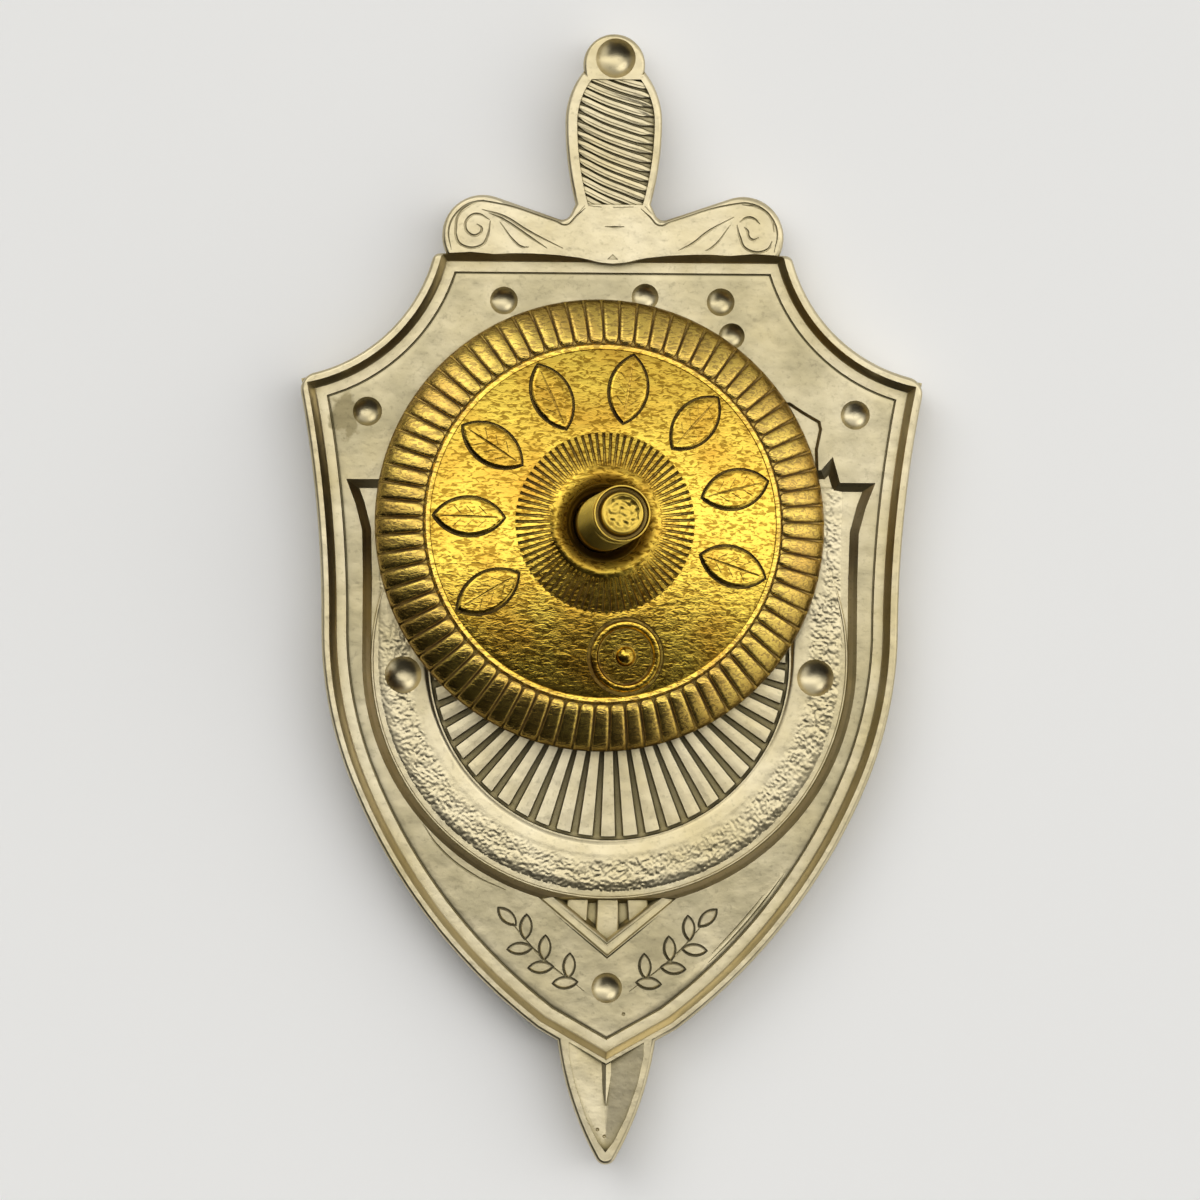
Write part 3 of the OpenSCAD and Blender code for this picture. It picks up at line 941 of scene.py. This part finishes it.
def badge_sheet():
    """The whole struck sheet."""
    sheet = work(struck(shield_edge()), [hilt(), blade(), front_field()], "UNION")
    work(sheet, [front_panel(), front_disc()], "UNION")
    work(sheet, [recess(), panel()])
    work(sheet, [notches(), vee()])
    work(sheet, [pan(), window(), blade_hollow()])
    bed = block(grip_bed(), BACK - 0.04, BACK + 0.3, down=[(0.04, -0.14), (0.05, -0.03)])
    work(sheet, [moved(bed, GRIP_SHIFT)])
    work(sheet, [ring_line(), blade_rib()], "UNION")
    work(sheet, [crackled_ring()], "UNION")
    work(sheet, [rays(), windings()], "UNION")
    work(sheet, dimples())
    work(sheet, engraved_lines())
    wells, leaves = sprigs()
    work(sheet, wells)
    work(sheet, leaves, "UNION")
    return sheet


# The post

def screw_post():
    """The threaded post, with its turned end."""
    steps, turns, core = 48, 25, 1.02
    bm = upright(wired([(core, 0), (POST_R, 0.19), (POST_R, 0.23), (core, 0.42), (core, PITCH)]))
    bmesh.ops.translate(bm, verts=bm.verts[:], vec=(0, 0, -2 * PITCH))
    bmesh.ops.spin(
        bm, geom=bm.verts[:] + bm.edges[:], angle=FULL_TURN * turns, steps=steps * turns,
        dvec=(0, 0, PITCH / steps), **ROUND_Z,
    )
    bmesh.ops.remove_doubles(bm, verts=bm.verts[:], dist=MERGE)
    bmesh.ops.holes_fill(bm, edges=[edge for edge in bm.edges if edge.is_boundary], sides=0)
    faced_out(bm)
    length = turned([(0, -0.3), (1.3, -0.3), (1.3, 8.52), (1.20, 8.66), (1.04, 8.72), (0, 8.72)])
    post = work(bm, [length], "INTERSECT")
    end = turned([
        (0, 8.5), (1.0, 8.5), (1.0, 9.46), (1.18, 9.56), (1.245, 9.62), (1.245, 9.90), (1.225, 9.94),
        (1.18, 9.945), (1.15, 9.90), (1.12, 9.68), (1.02, 9.66), (0.97, 9.76), (0.94, 9.93), (0.90, 9.98),
        (0.84, POST_LENGTH), (0.78, 9.98), (0.0, 9.98),
    ], steps=64)
    work(post, [end], "UNION")
    # the middle of the end is sunk and rough, and rises towards its rim
    level, lumps, lump_size, rim = 9.88, 0.06, 0.22, 0.62
    rough = bmesh.new()
    bmesh.ops.create_grid(rough, x_segments=40, y_segments=40, size=0.8)
    for vert in rough.verts:
        rise = 0.1 * max(0, from_axis(vert) - rim) / 0.15
        vert.co.z = level + lumps * noise.noise(vert.co / lump_size) + rise
    middle = turned([(0, 9.7), (0.77, 9.7), (0.77, 10.4), (0, 10.4)], steps=64)
    return work(post, [work(slab(rough, 10.3), [middle], "INTERSECT")])


def solder_foot():
    """The fillet of solder round the post's foot."""
    top = 0.72
    fillet = ((1.95, top), 0.62, -97, -175)
    return piece_of(turned([(0, -0.3), (1.88, -0.3), (1.88, 0.02), fillet, (1.2, top), (0, top)], steps=72))


# The nut

LEAF_ANGLES = (211, 178, 146, 113, 80, 48, 15, -18)
FACE = [  # height of the nut's face above its rim, by radius
    (2.0, 2.12), (3.95, 1.75), (5.0, 1.615), (6.2, 1.44), (7.0, 1.305), (7.4, 1.235), (7.7, 1.18),
    (7.95, 1.12), (8.2, 1.02), (8.6, 0.85), (9.5, 0.42), (9.7, 0.31), (9.85, 0.20), (9.97, 0.06),
]


def dome(radius):
    """Height of the nut's face above its rim, at a radius."""
    return between_knots(FACE, radius)


def draped(bm, lift=0):
    """Lays a flat shape on the nut's face, or lifts it above it."""
    for vert in bm.verts:
        vert.co.z += dome(from_axis(vert)) + lift
    return bm


def knurl():
    """The pads of the nut's knurled edge, each rounded across and at its inner end."""
    gap, lowest = 0.032, 0.05
    stations = []
    for radius, share, drop in (
        (9.97, 0.92, 0.04), (9.90, 1, 0), (9.72, 1, -0.03), (9.5, 1, -0.05), (9.1, 1, -0.09), (8.8, 1, -0.11),
        (8.45, 1, -0.09), (8.25, 1, -0.05), (8.12, 0.97, 0), (8.05, 0.88, 0.04), (8.0, 0.74, 0.08),
    ):
        stations.append((-radius, share * (math.pi * radius / PADS - gap), drop))
    section = [(0, 0.105), (0.5, 0.10), (0.78, 0.085), (0.92, 0.05), (1, -0.01), (1, -0.26), (0, -0.26)]
    bm = draped(repeated(bar(section, stations), PADS))
    for vert in bm.verts:  # no pad reaches below the rim
        if vert.co.z < lowest:
            vert.co.z = lowest - 0.1 * (lowest - vert.co.z)
    return bm


def ray_ridges():
    """The fine ridges round the hub, with scalloped outer ends."""
    half = [
        (2.45, -0.062), (3.75, -0.115), (3.98, -0.115), (4.06, -0.05), (4.06, 0.05), (3.98, 0.115),
        (3.75, 0.115), (2.45, 0.062),
    ]
    bm = block(half, -0.3, -0.03, mirrored=False, up=[(0.035, 0.05)])
    return draped(repeated(bm, PADS))


def grained_face():
    """The nut's grained face: fine wrinkles that run across the badge."""
    rows, step, inner, outer, fade = 34, 0.1125, 3.98, 7.70, 0.2
    bm = wired([(inner + row * step, 0) for row in range(rows)])
    bmesh.ops.spin(
        bm, geom=bm.verts[:] + bm.edges[:], angle=FULL_TURN, steps=400, use_merge=True, **ROUND_Z
    )
    bmesh.ops.remove_doubles(bm, verts=bm.verts[:], dist=FINE_MERGE)
    for vert in bm.verts:
        radius = from_axis(vert)
        spot = Vector((vert.co.x / 0.6, vert.co.y / 0.22, 0))
        spot += 0.4 * noise.noise_vector(spot * 0.5)
        edge = min(1, (radius - inner) / fade, (outer - radius) / fade)
        wrinkle = 0.010 + 0.006 * noise.noise(spot) + 0.004 * noise.noise(spot * 2)
        vert.co.z = dome(radius) + 0.012 + edge * wrinkle
    for vert in extruded(bm, bm.faces[:], bmesh.types.BMVert):
        vert.co.z = dome(from_axis(vert)) - 0.2
    return faced_out(bm)


def disc_body():
    """The pressed disc itself, rolled over its bush at the middle."""
    bm = turned([
        (2.0, 1.74), (1.76, 1.74), (1.73, 1.77), (1.76, 1.86), (1.84, 1.96), (1.94, 2.05), (2.05, 2.11),
        (2.17, 2.135), (2.28, 2.125), (2.38, 2.09), (2.50, 2.02), (2.7, 1.94), (2.85, 1.90), (3.0, 1.86),
        (3.6, 1.72), (3.86, 1.66), (3.98, 1.74), (5.0, 1.60), (6.2, 1.42), (7.0, 1.29), (7.64, 1.18),
        (7.70, 1.235), (7.87, 1.23), (7.93, 1.14), (8.0, 1.04), (8.2, 0.98), (8.6, 0.84), (9.5, 0.42),
        (9.7, 0.31), (9.85, 0.20), (9.98, 0.10), (10.0, 0.03), (9.97, 0), (9.5, 0), (7.95, 0.72),
        (3.95, 1.25), (2.0, 1.61),
    ], steps=4 * PADS, hollow=True)
    collar_r, collar_low, lumps, lump_size = 3, 1.85, 0.022, 0.24
    for vert in bm.verts:  # the rolled collar is rough
        if from_axis(vert) < collar_r and vert.co.z > collar_low:
            vert.co.z += lumps * noise.noise(vert.co / lump_size)
    return bm


def leaf(angle):
    """One raised leaf of the nut's face: the groove round it, the leaf, and the veins cut in it."""
    x, y = on_arc((0, 0), 6.0, angle)
    groove = block(lens(3.28, 1.88), -0.11, 0.5, mirrored=False)
    raised = block(lens(3.02, 1.62), -0.25, 0.06, mirrored=False, up=[(0.05, 0.05), (0.08, 0.02)])
    lines = [[(4.75, 0), (6.0, 0), (7.25, 0)]]
    lines += [
        [(start, side * 0.12), (start + 0.34, side * 0.46)] for start in (5.25, 5.8, 6.35) for side in (-1, 1)
    ]
    veins = draped(wire_of(lines, 0.07, 0, bent=False), lift=0.13)
    groove, raised = (draped(moved(bm, x, y, 0, angle)) for bm in (groove, raised))
    return groove, raised, moved(veins, turn=angle)


def nut_disc():
    """The nut's disc, with its knurl, its ridges, its leaves and the ring at the bottom of its face."""
    disc = work(disc_body(), [grained_face(), knurl(), ray_ridges()], "UNION")
    grooves, leaves, veins = zip(*(leaf(angle) for angle in LEAF_ANGLES))
    work(disc, grooves)
    work(disc, leaves, "UNION")
    work(disc, veins)
    x, y = on_arc((0, 0), 5.95, -80.6)
    well = turned([
        (0, -0.12), (1.35, -0.12), (1.5, -0.08), (1.68, -0.08), (1.72, 0.02), (1.72, 0.5), (0, 0.5),
    ], steps=64)
    band = turned([
        (1.24, -0.2), (1.24, 0.02), (1.30, 0.09), (1.40, 0.11), (1.50, 0.09), (1.56, 0.02), (1.56, -0.2),
    ], steps=64, hollow=True)
    bead = turned([(0, -0.2), (0.55, -0.2), (0.55, -0.05), ((0, -0.05), 0.45, 0, 90)], steps=48)
    work(disc, [draped(moved(well, x, y))])
    return work(disc, [draped(moved(band, x, y)), draped(moved(bead, x, y))], "UNION")


def nut_hub():
    """The nut's threaded bush, with a countersunk mouth."""
    bore, outer = POST_R + 0.05, 1.95
    return piece_of(turned([
        (bore, 0.2), (1.9, 0.15), (outer, 0.2), (outer, 1.71), (1.74, 1.71), (1.66, 1.68), (1.58, 1.58),
        (1.42, 1.20), (1.34, 1.00), (bore, 0.90),
    ], hollow=True))


# Light, floor and camera

def studio():
    """Soft light: a bright half of the room towards the pommel, a dark half behind, and a pale floor."""
    world = bpy.data.worlds.new("studio")
    scene.world = world
    world.use_nodes = True
    tree = world.node_tree
    tree.nodes.clear()
    place = node(tree, "TexCoord").outputs["Generated"]
    axes = node(tree, "SeparateXYZ", {"Vector": place}).outputs
    ahead = node(tree, "MapRange", {"Value": axes["Y"], "From Min": -1.0, "From Max": 1.0}).outputs[0]
    across = node(tree, "MapRange", {"Value": axes["X"], "From Min": -1.0, "From Max": 1.0}).outputs[0]
    bright = node(tree, "ValToRGB", {"Fac": ahead}, stops=[
        (0.0, 0.02), (0.44, 0.02), (0.465, 0.13), (0.488, 0.84), (0.51, 1.0), (0.60, 1.0), (0.66, 0.68),
        (0.73, 0.44), (1.0, 0.24),
    ]).outputs["Color"]
    left = node(tree, "ValToRGB", {"Fac": across}, stops=[
        (0.1, 0.18), (0.225, 0.32), (0.35, 0.62), (0.43, 1.0), (0.85, 1.0), (0.97, 0.9),
    ]).outputs["Color"]
    right = node(tree, "ValToRGB", {"Fac": across}, stops=[(0.70, 0.0), (0.88, 0.48)]).outputs["Color"]
    lamp_at = (-0.43, 0.61, 0.67)
    towards = node(tree, "VectorMath", {0: place, 1: lamp_at}, operation="DOT_PRODUCT").outputs["Value"]
    lamp = node(tree, "ValToRGB", {"Fac": towards}, stops=[(0.86, 0.0), (0.97, 1.0)]).outputs["Color"]
    glow = bright
    for layer, blend in ((left, "MULTIPLY"), (right, "LIGHTEN"), (lamp, "LIGHTEN")):
        glow = node(
            tree, "Mix", {"Factor": 1.0, 6: glow, 7: layer}, data_type="RGBA", blend_type=blend
        ).outputs[2]
    sky = node(tree, "Background", {"Color": glow, "Strength": 2.3})
    node(tree, "OutputWorld", {"Surface": sky.outputs[0]})

    bm = bmesh.new()
    floor_half, floor_drop = 2000, 0.02
    bmesh.ops.create_grid(bm, x_segments=2, y_segments=2, size=floor_half)
    floor = piece_of(bm, "floor")
    floor.data.transform(Matrix.Scale(MM, 4))
    floor.data.materials.append(pale_paper())
    floor.location.z = -floor_drop * MM

    # the camera looks straight down, turned a little, as in the photo
    over_x, over_y, above_back, turn = -0.4375, -0.0257, 450, 0.466
    camera = bpy.data.cameras.new("camera")
    camera.lens, camera.sensor_width = 305.4, 36
    camera.clip_start, camera.clip_end = 0.01, 10
    holder = bpy.data.objects.new("camera", camera)
    holder.location = (over_x * MM, over_y * MM, (BACK + above_back) * MM)
    holder.rotation_euler = (0, 0, math.radians(turn))
    scene.collection.objects.link(holder)
    scene.camera = holder
    scene.view_settings.view_transform = "Standard"


nickel_silver = struck_nickel_silver()
disc_brass = stamped_brass()
bright_brass = turned_brass()

sheet = finish_piece(badge_sheet(), "badge_sheet", "badge", nickel_silver)
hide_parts("struck_plate")
finish_piece(solder_foot(), "solder_foot", "badge", nickel_silver, on_post(0))
finish_piece(screw_post(), "screw_post", "badge", bright_brass, on_post(0))
disc = finish_piece(nut_disc(), "knurled_disc", "disc", disc_brass, on_post(NUT_SEAT))
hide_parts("nut_disc")
hub = finish_piece(nut_hub(), "threaded_hub", "hub", bright_brass, on_post(NUT_SEAT))
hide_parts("nut_hub")
studio()
